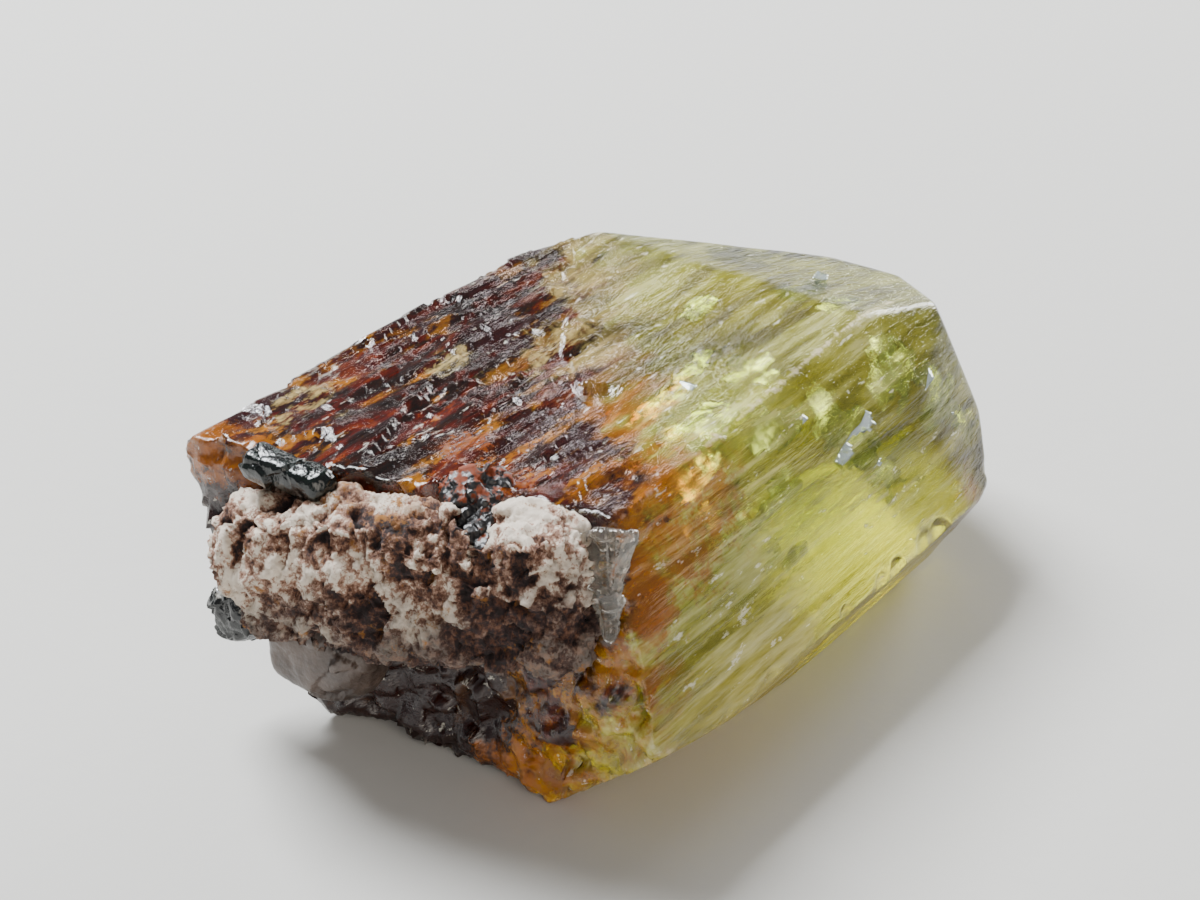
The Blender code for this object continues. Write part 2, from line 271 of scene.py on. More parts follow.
def relaxed(points: Array, edges: Array, share: float) -> Array:
    """Moves each point a share of the way to the middle of its neighbours."""
    both = np.concatenate([edges, edges[:, ::-1]])
    count = np.maximum(1, np.bincount(both[:, 0], minlength=len(points)))
    sums = [np.bincount(both[:, 0], weights=points[both[:, 1], axis], minlength=len(points)) for axis in range(3)]
    return points + share * (np.stack(sums, axis=1) / count[:, None] - points)


def smooth_step(low: float, high: float, values: Array) -> Array:
    """Rises smoothly from 0 at low to 1 at high."""
    part = np.clip((values - low) / (high - low), 0.0, 1.0)
    return part * part * (3.0 - 2.0 * part)


class Paint:
    """A material's node tree, with one call that adds a node with its settings and links."""

    def __init__(self, name: str) -> None:
        """Starts an empty material.

        Args:
            name: the material's name.
        """
        self.material = bpy.data.materials.new(name)
        self.material.use_nodes = True
        self.tree = self.material.node_tree
        self.tree.nodes.clear()

    def add(self, kind: str, *inputs: Any, **settings: Any) -> Node:
        """Adds one node.

        Args:
            kind: the node's type, without the leading "ShaderNode", and after a colon its mode.
            inputs: numbers, hex colours, nodes, or nodes with the name of an output, in the order of ORDER or of
                the node's own inputs. A dict gives them by name.
            settings: the node's other settings. stops are a colour ramp's places and hex colours.

        Returns:
            The node.
        """
        kind, _, mode = kind.partition(":")
        made = self.tree.nodes.new(f"ShaderNode{kind}")
        stops = settings.pop("stops", ())
        if mode:
            settings[MODES[kind]] = mode
        for name, value in settings.items():
            setattr(made, name, value)
        if stops:
            ramp = made.color_ramp.elements
            while len(ramp) > 1:
                ramp.remove(ramp[-1])
            for number, (place, colour) in enumerate(stops):
                stop = ramp[0] if number == 0 else ramp.new(place)
                stop.position = place
                stop.color = linear(colour)
        by_name = inputs and isinstance(inputs[0], dict)
        pairs = inputs[0] if by_name else dict(zip(ORDER.get(kind, range(len(inputs))), inputs))
        for key, value in pairs.items():
            named = (s for s in made.inputs if s.enabled and key in (s.name, s.identifier))
            socket = made.inputs[key] if isinstance(key, int) else next(named)
            if isinstance(value, tuple) and isinstance(value[0], Node):
                self.tree.links.new(value[0].outputs[value[1]], socket)
            elif isinstance(value, Node):
                self.tree.links.new(next(s for s in value.outputs if s.enabled), socket)
            else:
                socket.default_value = linear(value) if isinstance(value, str) else value
        return made

    def millimetres(self, stretch: Triple = (1.0, 1.0, 1.0)) -> Node:
        """Gives the surface's place in the specimen's frame in millimetres, scaled along each axis."""
        place = self.add("TexCoord")
        scale = [part / MM for part in stretch]
        shift = [part * origin for part, origin in zip(stretch, ORIGIN)]
        return self.add("Mapping", {"Vector": (place, "Object"), "Scale": scale, "Location": shift})


@dataclass(frozen=True)
class StainedApatite:
    """Natural apatite, clouded yellow-green, soaked with iron oxide near its break.

    The eye sees a glassy skin over a milky, greenish-yellow depth, and streaks of red-brown, orange and
    white along the axis where the stain has crept in.
    """

    clear_deep: str = "#92992a"
    clear_mid: str = "#c2c446"
    clear_pale: str = "#eae892"
    foot_yellow: str = "#d8b512"
    stain_black: str = "#160503"
    # The next colour is the stain's darkest, and also the painted shade low on the break.
    stain_dark_and_shade: str = "#230904"
    stain_red: str = "#5a1206"
    stain_brown: str = "#7a3008"
    stain_plum: str = "#4a1b1e"
    stain_pale: str = "#9c6a3a"
    maroon: str = "#2c0409"
    gold: str = "#d98a1c"
    amber: str = "#bd6a02"
    cream: str = "#e6cb84"
    rust: str = "#7a3800"
    frost: str = "#e6e2d4"
    # The pale ridge band: partly rubbed wear, partly a painted sheen.
    worn_pink_sheen: str = "#dcc6b4"
    olive: str = "#3f4412"
    ior: float = 1.63
    absorption_colour: str = "#cfd04a"
    absorption_per_metre: float = 85.0
    rust_spots: Spots = ((3.6, -12.2, 13.0, 2.5), (1.0, -7.5, 13.0, 1.2), (6.0, -9.5, 13.0, 1.4))
    amber_spots: Spots = (
        *((1.2, -16.5, 0.8, 2.8), (9.8, -18.3, 11.5, 2.6), (7.4, -19.0, 10.4, 2.0), (4.8, -19.9, 9.6, 1.5)),
        *((26.0, -21.8, 4.4, 1.8), (0.3, -0.6, 12.0, 1.6), (0.3, -3.0, 12.4, 1.3)),
    )
    maroon_spots: Spots = ((9.3, -12.8, 13.0, 3.4), (5.8, -16.6, 12.6, 2.2), (14.5, -5.0, 13.0, 2.6))
    cream_spots: Spots = (
        *((15.2, -8.6, 13.0, 2.6), (20.8, -4.4, 13.0, 2.2), (4.4, -1.9, 13.0, 1.6), (11.0, -4.6, 13.0, 1.5)),
    )
    olive_spots: Spots = ((28.3, -8.4, 12.2, 1.9), (22.6, -20.9, 6.8, 1.0))
    wander: float = 12.0  # how far the stain's front wanders, in millimetres
    finger: float = 9.0  # how long the fingers are that it sends ahead

    def front(self, paint: Paint, place: Node) -> Node:
        """Gives how far a place lies past the stain's front, in millimetres.

        The front runs slantwise over the top face and falls back towards the break lower down.

        Args:
            paint: the material's nodes.
            place: the place on the surface.

        Returns:
            The node that gives it, negative where the stain is.
        """
        add = paint.add
        parts = add("SeparateXYZ", place)
        wander = add("TexNoise", place, 0.3, 4.0, 0.65)
        fingers = add("TexNoise", paint.millimetres((0.2, 1.0, 1.0)), 0.8, 4.0, 0.6)
        start = THICKNESS * FRONT_FALL - FRONT_AT - (self.wander + self.finger) / 2.0
        slant = add("Math:MULTIPLY_ADD", (parts, "Y"), -FRONT_SLANT, (parts, "X"))
        depth = add("Math:MULTIPLY_ADD", (parts, "Z"), -FRONT_FALL, start)
        front = add("Math:ADD", slant, depth)
        front = add("Math:MULTIPLY_ADD", wander, self.wander, front)
        return add("Math:MULTIPLY_ADD", fingers, self.finger, front)

    def seeped(self, paint: Paint, place: Node, ragged: Node, spots: Spots) -> Node:
        """Gives where colour has seeped out around some places.

        Args:
            paint: the material's nodes.
            place: the place on the surface.
            ragged: the noise that frays the spots' edges.
            spots: where it comes from.

        Returns:
            The node that gives it, from 0 to 1.
        """
        add = paint.add
        total: Any = 0.0
        for x, y, z, radius in spots:
            away = add("VectorMath:DISTANCE", place, (x, y, z))
            reach = add("Math:DIVIDE", (away, "Value"), radius)
            reach = add("Math:MULTIPLY_ADD", ragged, -3.4, reach)
            spot = add("MapRange", reach, -0.6, -1.3)
            total = add("Math:MAXIMUM", total, spot)
        return total

    def ridge_wear_and_sheen(self, paint: Paint, frayed: Node, parts: Node) -> Node:
        """Gives the pale band along the ridge between the top face and the front bevel: partly rubbed wear, partly
        a painted sheen off the bevel.

        Args:
            paint: the material's nodes.
            frayed: the noise that frays its edges.
            parts: the place on the surface, as X, Y and Z.

        Returns:
            The node that gives it, from 0 to 1.
        """
        add = paint.add
        line = add("Math:MULTIPLY_ADD", (parts, "X"), -0.0598, 18.36)
        line = add("Math:ADD", line, (parts, "Y"))
        line = add("Math:ABSOLUTE", line)
        line = add("Math:MULTIPLY_ADD", frayed, -1.3, line)
        near = add("MapRange", line, -0.48, -0.7, 0.0, 0.8)
        high = add("MapRange", (parts, "Z"), 11.6, 12.2)
        start = add("MapRange", (parts, "X"), 9.0, 12.0, 0.0, 0.75)
        near = add("Math:MULTIPLY", near, high)
        return add("Math:MULTIPLY", near, start)

    def build(self) -> Material:
        """Builds the material."""
        paint = Paint("stained_apatite")
        add = paint.add
        place = paint.millimetres()
        short, along, streaky = (paint.millimetres((stretch, 1.0, 1.0)) for stretch in (0.35, 0.2, 0.09))
        parts = add("SeparateXYZ", place)
        large = add("TexNoise", place, 0.2, 3.0, 0.65)
        frayed = add("TexNoise", place, 1.3, 5.0, 0.75)
        gilt = add("TexNoise", short, 0.8, 5.0, 0.66)
        patches = add("TexNoise", short, 0.45, 6.0, 0.72, 0.9)
        flaws = add("TexNoise", short, 2.0, 4.0, 0.72)
        clouds = add("TexNoise", along, 0.75, 4.0, 0.66)
        streaks = add("TexNoise", along, 1.5, 4.0, 0.66, 0.7)
        lines = add("TexNoise", streaky, 2.6, 4.0, 0.6)
        scratch = add("TexNoise", streaky, 3.4, 4.0, 0.68)
        maroon, amber, creamy, rust, olive = (
            self.seeped(paint, place, frayed, spots)
            for spots in (self.maroon_spots, self.amber_spots, self.cream_spots, self.rust_spots, self.olive_spots)
        )
        front = self.front(paint, place)
        stain = add("MapRange:SMOOTHSTEP", front, 0.9, -0.9)

        # The clear half: pale greens streaked along the axis, more yellow towards the foot.
        mixed = add("Math:MULTIPLY", lines, 0.4)
        mixed = add("Math:MULTIPLY_ADD", clouds, 0.6, mixed)
        greens = ((0.38, self.clear_deep), (0.5, self.clear_mid), (0.62, self.clear_pale))
        clear = add("ValToRGB", mixed, stops=greens)
        foot = add("MapRange", (parts, "Z"), 9.0, 2.0, 0.0, 0.75)
        clear = add("Mix:RGBA", foot, clear, self.foot_yellow)

        # The stained half: broken streaks of red-brown and plum, dark maroon patches and gold where it is thin.
        tone = add("Math:MULTIPLY", patches, 0.6)
        tone = add("Math:MULTIPLY_ADD", streaks, 0.4, tone)
        darks = ((0.42, self.stain_black), (0.49, self.stain_dark_and_shade), (0.545, self.stain_red))
        browns = ((0.585, self.stain_brown), (0.625, self.stain_plum), (0.69, self.stain_pale))
        stained = add("ValToRGB", tone, stops=darks + browns)
        deep = add("MapRange", large, 0.52, 0.6, 0.0, 0.75)
        deep = add("Math:MAXIMUM", maroon, deep)
        thin = add("MapRange", gilt, 0.55, 0.68, 0.0, 0.9)
        for share, colour in ((deep, self.maroon), (thin, self.gold)):
            stained = add("Mix:RGBA", share, stained, colour)

        # Low on the break it is painted nearly black: painted shade where the break lies in shadow, over its dark
        # stain.
        lift = add("MapRange", (parts, "Y"), -9.0, -2.0, 0.0, 4.5)
        shaded_break = add("Math:SUBTRACT", (parts, "Z"), lift)
        shaded_break = add("Math:MULTIPLY_ADD", frayed, 9.0, shaded_break)
        shaded_break = add("MapRange", shaded_break, 13.0, 10.5)
        back = add("MapRange", (parts, "X"), 6.0, 3.0, 0.0, 0.94)
        tip = add("MapRange", (parts, "Y"), -17.0, -14.0)
        for share in (back, tip):
            shaded_break = add("Math:MULTIPLY", shaded_break, share)

        # Cream and amber border the stain; rust has seeped out round the grains on the break.
        rise = add("MapRange:SMOOTHSTEP", front, -2.8, -0.2)
        fall = add("MapRange:SMOOTHSTEP", front, 3.4, 0.2)
        edge = add("MapRange", gilt, 0.36, 0.5, 0.0, 0.92)
        band = add("Math:MULTIPLY", rise, fall)
        band = add("Math:MULTIPLY", band, edge)
        warm = add("MapRange", (parts, "Y"), -8.0, -12.0)
        border = add("Mix:RGBA", warm, self.cream, self.amber)
        amber = add("Math:MULTIPLY", amber, 0.85)
        olive = add("Math:MULTIPLY", olive, 0.8)
        creamy = add("Math:MULTIPLY", creamy, add("MapRange", gilt, 0.46, 0.58, 0.0, 0.9))
        rust = add("Math:MULTIPLY", rust, add("MapRange", gilt, 0.4, 0.5, 0.0, 0.85))

        # Flaws, and the edges where they have worn, show as frost.
        flaws = add("Math:SUBTRACT", flaws, add("MapRange", stain, 0.0, 1.0, 0.62, 0.63))
        flaws = add("MapRange", flaws, 0.0, 0.06)
        flakes = add("MapRange", patches, 0.63, 0.7, 0.0, 0.5)
        flakes = add("Math:MULTIPLY", flakes, stain)
        flaws = add("Math:MAXIMUM", flaws, flakes)
        ragged = add("MapRange", frayed, 0.44, 0.62)
        ragged = add("Math:MULTIPLY", ragged, add("MapRange", large, 0.42, 0.58, 0.12))
        wear = add("Math:MULTIPLY", (add("Attribute", attribute_name="wear"), "Fac"), ragged)
        wear = add("MapRange", wear, 0.08, 0.7, 0.0, 0.6)
        frost = add("Math:MAXIMUM", flaws, wear)
        frost = add("Math:MULTIPLY", frost, 0.7)
        # The pale ridge band is partly rubbed wear and partly a painted sheen off the bevel.
        wear_and_sheen = self.ridge_wear_and_sheen(paint, frayed, parts)
        body = add("Mix:RGBA", stain, clear, stained)
        # The first of these mixes lays the painted shade low on the break.
        for share, colour in (
            *((shaded_break, self.stain_dark_and_shade), (band, border), (amber, self.amber), (creamy, self.cream)),
            *((rust, self.rust), (olive, self.olive), (frost, self.frost), (wear_and_sheen, self.worn_pink_sheen)),
        ):
            body = add("Mix:RGBA", share, body, colour)
        frost = add("Math:MAXIMUM", frost, wear_and_sheen)

        # Cloudy patches and frost hold the light back; the rest is seen into.
        glow = add("Math:MULTIPLY", amber, 0.9)
        for share in (band, thin):
            glow = add("Math:MAXIMUM", glow, share)
        held = add("Math:SUBTRACT", stain, glow, use_clamp=True)
        held = add("MapRange", held, 0.0, 1.0, 1.0, 0.62)
        bare = add("Math:SUBTRACT", 1.0, add("Math:MAXIMUM", rust, shaded_break))
        veil = add("MapRange", (parts, "X"), 17.0, 7.0, 1.0, 0.66)
        clearness = add("MapRange", mixed, 0.42, 0.6, 1.0, 0.62)
        for share in (held, add("Math:SUBTRACT", 1.0, frost), bare, veil):
            clearness = add("Math:MULTIPLY", clearness, share)
        dull = add("Math:MULTIPLY_ADD", rust, 0.3, shaded_break, use_clamp=True)
        roughness = add("MapRange", clouds, 0.45, 0.7, 0.03, 0.18)
        roughness = add("Math:MULTIPLY_ADD", frost, 0.3, roughness)
        roughness = add("Math:MULTIPLY_ADD", dull, 0.18, roughness)
        look = {"Base Color": body, "Roughness": roughness, "IOR": self.ior, "Transmission Weight": clearness}
        skin = add("BsdfPrincipled", {**look, "Normal": add("Bump", scratch, 0.4, 0.0002)})
        inside = add("VolumeAbsorption", {"Color": self.absorption_colour, "Density": self.absorption_per_metre})
        add("OutputMaterial", {"Surface": skin, "Volume": inside})
        return paint.material


@dataclass(frozen=True)
class HostRock:
    """Weathered feldspar and carbonate host rock, chalky and granular, with iron oxide in its pits."""

    chalk: str = "#e6d8c6"
    pink: str = "#b5917c"
    brown: str = "#6c4530"
    plum: str = "#33201f"
    rust: str = "#9a6420"
    # The next colour is the rock's darkest, and also the painted shade low on the rock.
    darkest_and_shade: str = "#1c1110"
    bright_spot: Triple = (2.5, -16.5, 12.5)

    def build(self) -> Material:
        """Builds the material."""
        paint = Paint("weathered_host_rock")
        add = paint.add
        place = paint.millimetres()
        parts = add("SeparateXYZ", place)
        height = add("Attribute", attribute_name="height")
        clouds = add("TexNoise", place, 0.5, 6.0, 0.7)
        sugar = add("TexNoise", place, 2.4, 6.0, 0.75)
        tone = add("Math:MULTIPLY_ADD", (height, "Fac"), 0.42, -0.42)
        tone = add("Math:MULTIPLY_ADD", clouds, 1.3, tone)
        tone = add("Math:MULTIPLY_ADD", sugar, 1.1, tone)
        tone = add("Math:SUBTRACT", tone, 0.1)
        away = add("VectorMath:DISTANCE", place, self.bright_spot)
        bright = add("MapRange", (away, "Value"), 3.4, 1.6, 0.0, 0.05)
        tone = add("Math:ADD", tone, bright)
        stops = ((0.6, self.darkest_and_shade), (0.71, self.plum), (0.81, self.brown), (0.94, self.pink), (1.0, self.chalk))
        body = add("ValToRGB", tone, stops=stops)
        # Lower down the rock is painted darker: painted shade under the overhanging crust, over brown stain.
        low = add("Math:MULTIPLY_ADD", clouds, 9.0, (parts, "Z"))
        low = add("Math:MULTIPLY_ADD", (parts, "Y"), 0.3, low)
        low = add("MapRange:SMOOTHSTEP", low, 12.2, 9.0)
        low = add("Math:MULTIPLY", low, 0.85)
        shade_and_stain = add("ValToRGB", sugar, stops=((0.4, self.darkest_and_shade), (0.5, self.plum), (0.62, self.brown)))
        body = add("Mix:RGBA", low, body, shade_and_stain)
        high = add("Math:MULTIPLY_ADD", sugar, 4.0, (parts, "Z"))
        high = add("MapRange", high, 14.5, 14.8, 0.0, 0.95)
        rusty = add("TexNoise", place, 1.1, 5.0, 0.7)
        rusty = add("MapRange", rusty, 0.6, 0.68, 0.0, 0.8)
        left = add("MapRange", (parts, "Y"), -12.0, -10.5)
        high = add("Math:MULTIPLY", high, left)
        rusty = add("Math:MAXIMUM", rusty, high)
        body = add("Mix:RGBA", rusty, body, self.rust)
        fine = add("TexNoise", place, 5.0, 6.0, 0.75)
        bump = add("Bump", fine, 0.7, 0.0002)
        skin = add("BsdfPrincipled", {"Base Color": body, "Roughness": 0.8, "IOR": 1.52, "Normal": bump})
        add("OutputMaterial", {"Surface": skin})
        return paint.material


@dataclass(frozen=True)
class DarkMineral:
    """A dark mineral grain with two tones and a worn, half-dull skin."""

    name: str
    deep: str
    light: str
    coat: str
    coat_from: float  # height above which the coat lies, in millimetres
    roughness: float
    lump: float  # size of its patches, in millimetres

    def build(self) -> Material:
        """Builds the material."""
        paint = Paint(self.name)
        add = paint.add
        place = paint.millimetres()
        parts = add("SeparateXYZ", place)
        patches = add("TexNoise", place, 1.0 / self.lump, 5.0, 0.6)
        body = add("ValToRGB", patches, stops=((0.38, self.deep), (0.62, self.light)))
        high = add("Math:MULTIPLY_ADD", patches, 6.0, (parts, "Z"))
        high = add("MapRange", high, self.coat_from + 2.8, self.coat_from + 3.3)
        body = add("Mix:RGBA", high, body, self.coat)
        roughness = add("MapRange", high, 0.0, 1.0, self.roughness, 0.8)
        fine = add("TexNoise", place, 5.0, 4.0)
        bump = add("Bump", fine, 0.4, 0.0001)
        skin = add("BsdfPrincipled", {"Base Color": body, "Roughness": roughness, "IOR": 1.6, "Normal": bump})
        add("OutputMaterial", {"Surface": skin})
        return paint.material


@dataclass(frozen=True)
class ClearSplinter:
    """A colourless quartz splinter: glassy, with a faint grey cloud and a few smears of rust."""

    glass: str = "#e9e4d8"
    rust: str = "#8a5a34"
    ior: float = 1.54

    def build(self) -> Material:
        """Builds the material."""
        paint = Paint("clear_quartz_splinter")
        add = paint.add
        place = paint.millimetres()
        smears = add("TexNoise", place, 1.4, 5.0, 0.65)
        smears = add("MapRange", smears, 0.52, 0.68)
        body = add("Mix:RGBA", smears, self.glass, self.rust)
        clearness = add("MapRange", smears, 0.0, 1.0, 0.95, 0.4)
        look = {"Base Color": body, "Roughness": 0.06, "IOR": self.ior}
        skin = add("BsdfPrincipled", {**look, "Transmission Weight": clearness})
        add("OutputMaterial", {"Surface": skin})
        return paint.material


@dataclass(frozen=True)
class FractureGlint:
    """The inside of a healed fracture: a thin air film that throws light back like silver foil."""

    silver: str = "#eef8f4"

    def build(self) -> Material:
        """Builds the material."""
        paint = Paint("fracture_glint")
        add = paint.add
        place = paint.millimetres()
        mottle = add("TexNoise", place, 2.2, 5.0, 0.65)
        rough = add("MapRange", mottle, 0.3, 0.7, 0.05, 0.28)
        clearness = add("MapRange", mottle, 0.58, 0.42, 0.1, 0.9)
        shine = add("Math:SUBTRACT", 1.0, clearness)
        look = {"Base Color": self.silver, "Roughness": rough, "Metallic": shine, "IOR": 1.2}
        skin = add("BsdfPrincipled", {**look, "Transmission Weight": clearness})
        add("OutputMaterial", {"Surface": skin})
        return paint.material


@dataclass(frozen=True)
class PaleFloor:
    """Matt pale card under the specimen."""

    card: str = "#cfcdc8"

    def build(self) -> Material:
        """Builds the material."""
        paint = Paint("pale_card")
        add = paint.add
        place = add("TexCoord")
        tooth = add("TexNoise", (place, "Object"), 900.0, 3.0)
        bump = add("Bump", tooth, 0.1, 0.0002)
        skin = add("BsdfPrincipled", {"Base Color": self.card, "Roughness": 0.9, "Normal": bump})
        add("OutputMaterial", {"Surface": skin})
        return paint.material


@dataclass
class Crystal:
    """The crystal: a flattened hexagonal prism with a worn shoulder, a pyramid and a rough break."""

    voxel: float = 0.17
    top_width: float = 17.9
    front_width: float = 9.4
    back_width: float = 2.4
    flare: float = 0.02
    shoulders: tuple[tuple[float, float], ...] = (  # by prism face: where each starts, and its angle from the axis
        *((25.0, 77.5), (25.0, 80.0), (26.5, 76.0), (25.0, 73.0), (25.0, 73.0), (21.5, 72.0)),
    )
    pyramid_angle: float = 40.3
    pyramid: tuple[Triple, ...] = (  # by prism face: a point on the pyramid's face above it
        *((32.6, 0.0, 12.0), (30.7, -19.3, 9.0), (28.5, -22.3, 5.0)),
        *((28.5, 0.0, 0.0), (28.5, -4.5, 0.0), (29.2, -5.5, 12.0)),
    )
    tip_x: float = 34.6
    bevel_start: Triple = (6.0, -18.0, 13.0)
    bevel_tilt: float = 42.0
    bevel_taper: float = 0.04
    corner_chip_point: Triple = (3.2, -22.4, 5.0)
    corner_chip_normal: Triple = (-0.18, -0.66, -0.73)
    ridge_setback: float = 5.4
    foot_setback: float = 1.8
    back_corner_setback: float = 0.25
    hollow_depth: float = 1.1
    hollow_centre: tuple[float, float] = (-12.5, 4.2)
    hollow_radius: float = 4.6
    break_reach: float = 9.5  # how far along X the break can lie
    shards: tuple[tuple[float, float], ...] = ((1.7, 0.7), (0.7, 0.25))  # size and height of the break's facets
    flakes: tuple[Triple, ...] = ((6.0, 2.1, 0.2), (2.4, 0.9, 0.09))  # length, width and height on stained faces
    step_width: float = 2.3  # of the growth steps
    step_crest: float = 0.88  # how far across each step its crest lies
    edge_wear: float = 0.07  # how far an edge is rounded
    chip_count: int = 46
    turns: int = 9  # how often the net is drawn onto the surface
    smooth_turns: int = 6  # how many of them also even it out
    stride: float = 0.35  # the longest move in a turn, and how far the net is evened out

    def prism_normal(self, face: Face, spread: float = 0.0) -> Array:
        """Gives the outward normal of a prism face.

        Args:
            face: which face.
            spread: how much it leans outwards along the crystal.

        Returns:
            The unit normal.
        """
        turn = math.radians(60.0 * face)
        normal = np.array((-spread, -math.sin(turn), math.cos(turn)))
        return normal / np.linalg.norm(normal)

    def end_normal(self, face: Face, from_axis: float) -> Array:
        """Gives the outward normal of the end face above a prism face, so many degrees from the axis."""
        side, tilt = self.prism_normal(face), math.radians(from_axis)
        return np.array((math.cos(tilt), side[1] * math.sin(tilt), side[2] * math.sin(tilt)))

    def across(self, face: Face) -> Array:
        """Gives the direction across a prism face."""
        normal = self.prism_normal(face)
        return np.array((0.0, -normal[2], normal[1]))

    def widths(self) -> list[float]:
        """Gives the width of each prism face."""
        slant = THICKNESS / math.sin(math.radians(60.0))
        under_back = slant - self.back_width
        rest = self.top_width + self.front_width - under_back
        return [self.top_width, self.front_width, slant - self.front_width, rest, under_back, self.back_width]

    def corners(self) -> list[Array]:
        """Gives the corner of the section where each prism face starts."""
        corners = [np.array((0.0, 0.0, THICKNESS))]
        for face, width in zip(list(Face)[:-1], self.widths()):
            corners.append(corners[face] + self.across(face) * width)
        return corners

    def planes(self) -> tuple[Array, Array]:
        """Gives the crystal's flat faces.

        Returns:
            Their outward normals, and how far each lies from zero along its normal. The prism faces come first.
        """
        corners = self.corners()
        lean = {Face.FRONT: self.flare, Face.UNDER_FRONT: self.flare}
        pairs = [(self.prism_normal(face, lean.get(face, 0.0)), corners[face]) for face in Face]
        for face, (start, from_axis) in zip(Face, self.shoulders):
            point = corners[face] + self.prism_normal(face) * lean.get(face, 0.0) * start
            pairs.append((self.end_normal(face, from_axis), point + np.array((start, 0.0, 0.0))))
        for face, point in zip(Face, self.pyramid):
            pairs.append((self.end_normal(face, self.pyramid_angle), np.array(point)))
        pairs.append((np.array((1.0, 0.0, 0.0)), np.array((self.tip_x, 0.0, 0.0))))
        tilt = math.radians(self.bevel_tilt)
        bevel = np.array((self.bevel_taper, -math.sin(tilt), math.cos(tilt)))
        pairs.append((bevel / np.linalg.norm(bevel), np.array(self.bevel_start)))
        chip = np.array(self.corner_chip_normal)
        pairs.append((chip / np.linalg.norm(chip), np.array(self.corner_chip_point)))
        normals = np.array([normal for normal, _ in pairs])
        return normals, np.array([normal @ point for normal, point in pairs])

    def striations(self, points: Array, face: Face, grain: Grain) -> Array:
        """Gives how far a prism face is cut back by its growth lines and steps, in millimetres.

        Args:
            points: where to read it.
            face: which prism face.
            grain: the noise that places the lines.

        Returns:
            The depth at each point.
        """
        over = points @ self.across(face)
        x = points[:, 0]
        offset = np.full(len(points), 7.7 * face)
        steps = over / self.step_width + 1.1 * grain.smooth(np.stack([x / 13.0, over / 4.0, offset], axis=1))
        saw = steps - np.floor(steps)
        saw = np.where(saw < self.step_crest, saw / self.step_crest, (1.0 - saw) / 0.12)
        strength = 0.5 + 0.5 * grain.smooth(np.stack([x / 7.0, over / 3.0, offset + 31.0], axis=1))
        lines = grain.fractal(np.stack([x / 9.0, over / 0.9, offset + 50.0], axis=1), 4, 0.6)
        depth = 0.12 * strength * saw + 0.05 * (1.0 + lines)
        stain = self.stain(points)
        some = stain > 0.02
        flat = np.stack([x[some], over[some], offset[some]], axis=1)
        for length, width, height in self.flakes:
            number, facet = grain.grains(flat / np.array((length, width, 1.0)) + 3.0 * width)
            depth[some] += stain[some] * height * (0.35 * (1.0 + number) + facet)
        return depth

    def stain(self, points: Array) -> Array:
        """Gives how stained the crystal is at each point, from 0 to 1, as the finish draws it."""
        front = points[:, 0] - FRONT_SLANT * points[:, 1] - FRONT_AT + FRONT_FALL * (THICKNESS - points[:, 2])
        return smooth_step(2.0, -2.0, front)

    def break_at(self, y: Array, z: Array, grain: Grain) -> Array:
        """Gives where the break lies along X at each place in the section."""
        sideways = np.maximum(0.0, -y / self.top_width)
        up = np.clip(z / THICKNESS, 0.0, 1.0)
        slope = self.ridge_setback * sideways**1.5 * up**2.5
        foot = self.foot_setback * (1.0 - up) * np.minimum(1.0, 2.0 * sideways)
        corner = self.back_corner_setback * np.clip(y + 0.6, 0.0, 2.0)
        reach = np.hypot(y - self.hollow_centre[0], z - self.hollow_centre[1]) / self.hollow_radius
        flat = np.stack([y, z, np.full(len(y), 3.1)], axis=1)
        strength = 0.4 + 0.6 * np.clip(1.15 - up, 0.0, 1.0)
        lumps = 0.42 * grain.fractal(flat / 3.2, 4, 0.55, ridged=True)
        relief = strength * lumps
        for size, rise in self.shards:
            number, facet = grain.grains(flat / size)
            relief += strength * rise * (0.3 * number + facet)
        return slope + foot + corner + self.hollow_depth * np.exp(-(reach**2)) + relief

    def chips(self) -> tuple[Array, Array]:
        """Scatters small shell-shaped chips along the edges.

        Returns:
            The middle of the sphere that cuts each chip, and its radius.
        """
        dice = np.random.RandomState(23)
        corners = self.corners()
        middles, radii = [], []
        for _ in range(self.chip_count):
            face = Face(int(dice.choice([0, 1, 1, 2, 3, 5])))
            x = dice.uniform(3.0, 27.0)
            normal = self.prism_normal(face) + self.prism_normal(Face((face - 1) % 6))
            normal /= np.linalg.norm(normal)
            radius = dice.uniform(0.4, 1.2)
            bite = dice.uniform(0.05, 0.17)
            middles.append(corners[face] + np.array((x, 0.0, 0.0)) + normal * (radius - bite))
            radii.append(radius)
        return np.array(middles), np.array(radii)

